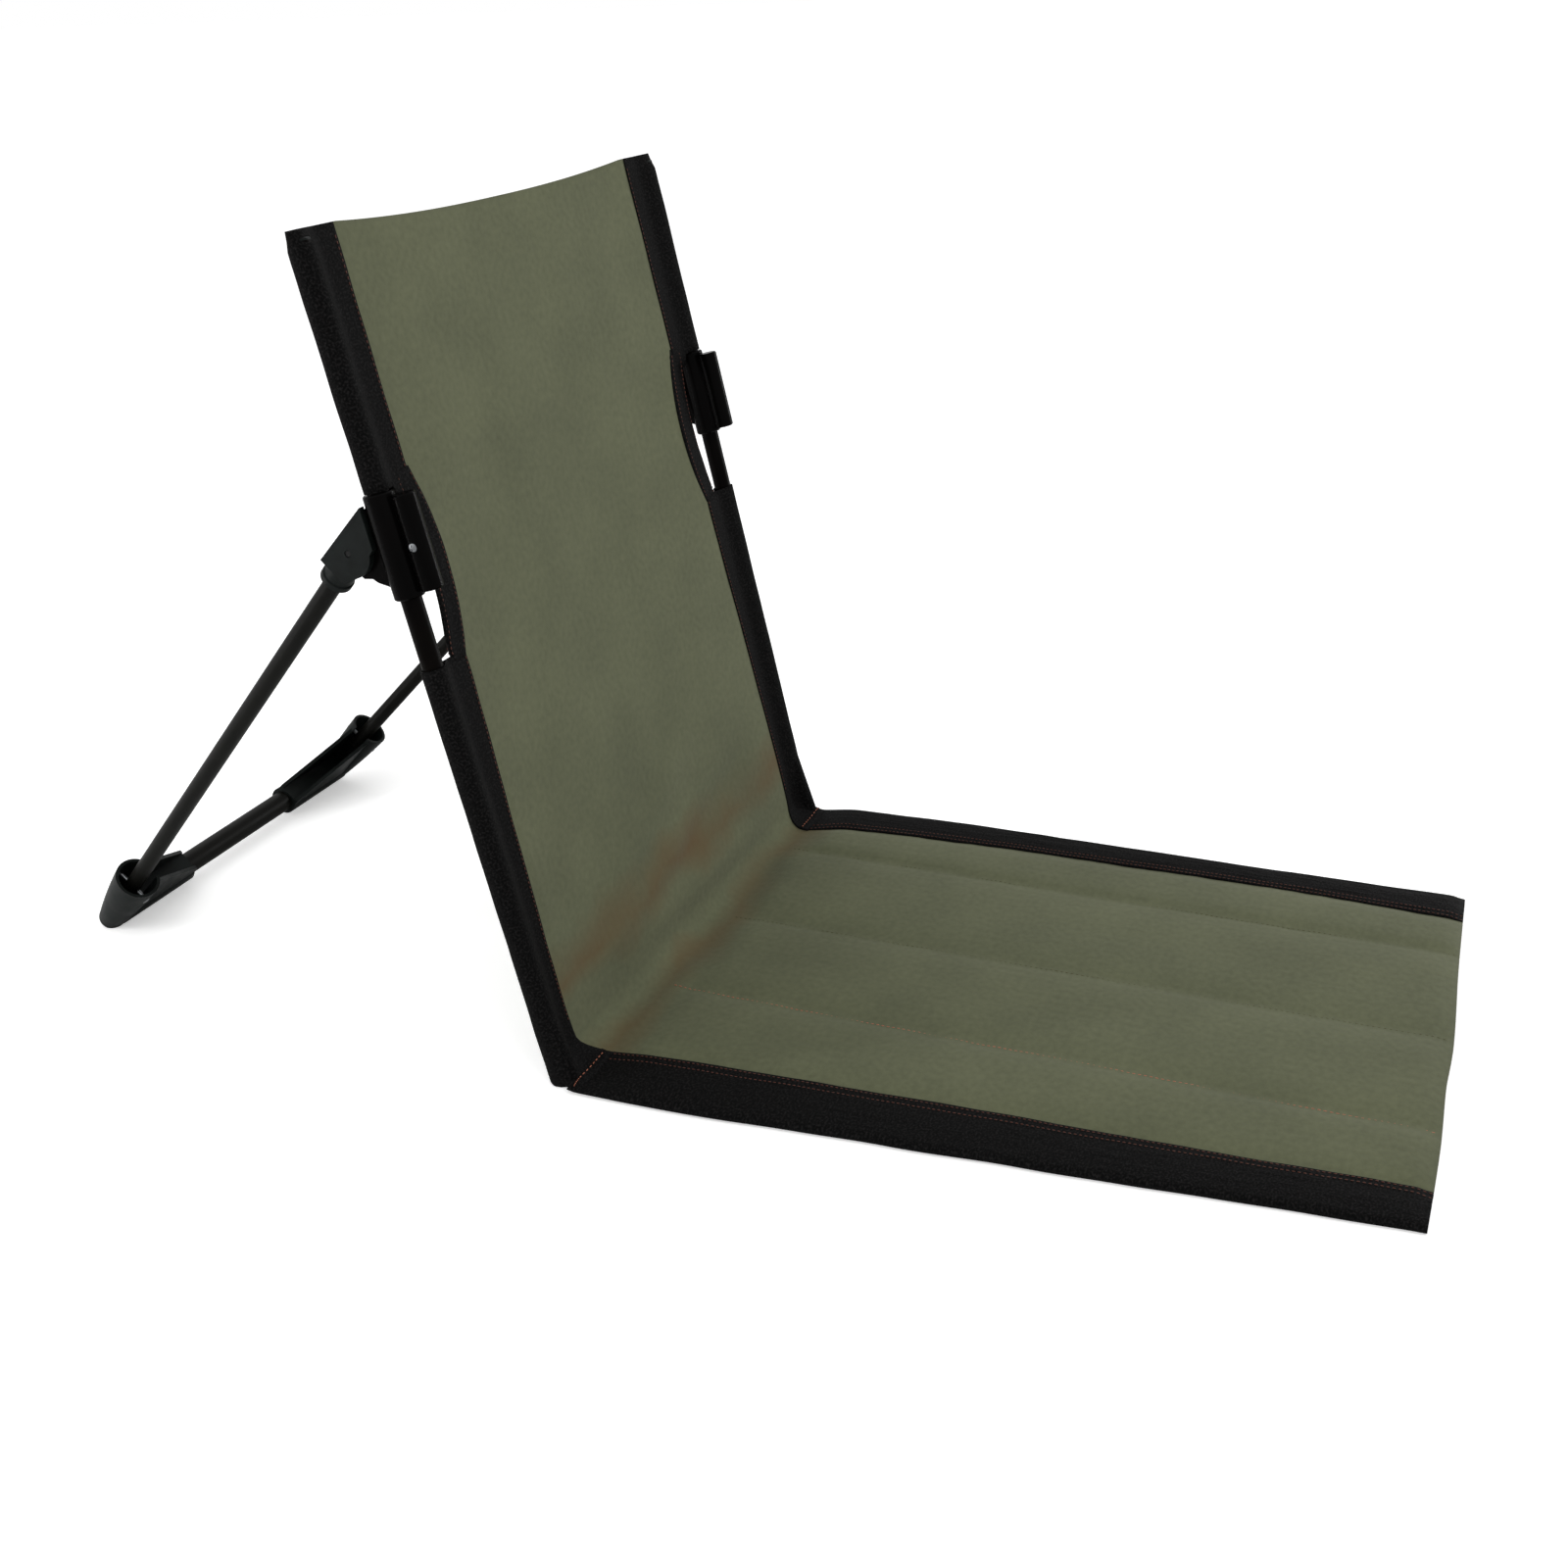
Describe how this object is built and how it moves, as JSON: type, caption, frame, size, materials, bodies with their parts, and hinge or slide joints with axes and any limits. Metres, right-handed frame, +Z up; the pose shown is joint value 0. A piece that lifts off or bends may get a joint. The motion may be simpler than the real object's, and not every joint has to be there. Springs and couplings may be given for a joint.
{
  "type": "folding floor chair",
  "caption": "Legless folding floor chair: a cloth back on two tubes, propped by a hinged frame with cup feet, and a flat channelled cloth seat that folds up against the back.",
  "frame": {"origin": "on the floor, midway across the chair and midway from the seat's front edge to the rear of the feet", "axes": "+X across the chair towards the sitter's left, +Y backward so that the sitter faces -Y, +Z up"},
  "size_m": [0.403, 0.8982, 0.4906],
  "materials": {
    "olive_cloth": "matt plain-weave polyester",
    "black_webbing": "matt woven webbing",
    "black_tube": "satin powder coat",
    "black_plug": "moulded",
    "gloss_bracket": "glossy moulded",
    "dark_fitting": "satin moulded",
    "steel": "zinc plated"
  },
  "bodies": {
    "back": {"back_panel": "olive_cloth", "right_back_tube": "black_tube", "right_top_plug": "black_plug", "right_bottom_plug": "black_plug", "right_upper_sleeve": "black_webbing", "right_lower_sleeve": "black_webbing", "right_side_binding": "black_webbing", "right_bracket": "gloss_bracket", "right_bracket_screw": "steel", "right_hinge_pin": "steel", "left_back_tube": "black_tube", "left_top_plug": "black_plug", "left_bottom_plug": "black_plug", "left_upper_sleeve": "black_webbing", "left_lower_sleeve": "black_webbing", "left_side_binding": "black_webbing", "left_bracket": "gloss_bracket", "left_bracket_screw": "steel", "left_hinge_pin": "steel"},
    "support": {"crossbar": "black_tube", "right_leg_fitting": "dark_fitting", "right_leg_tube": "black_tube", "right_foot": "dark_fitting", "right_foot_rivet": "steel", "left_leg_fitting": "dark_fitting", "left_leg_tube": "black_tube", "left_foot": "dark_fitting", "left_foot_rivet": "steel"},
    "seat": {"seat_panel": "olive_cloth", "right_seat_border": "black_webbing", "left_seat_border": "black_webbing"}
  },
  "joints": [
    {"name": "support_swing", "type": "hinge", "parent": "back", "child": "support", "pos_m": [0, 0.13413, 0.32286], "axis": [-1, 0, 0], "range_deg": [0, 53]},
    {"name": "seat_fold", "type": "hinge", "parent": "back", "child": "seat", "pos_m": [0, 0.02488, 0.0025], "axis": [-1, 0, 0], "range_deg": [0, 99]}
  ]
}
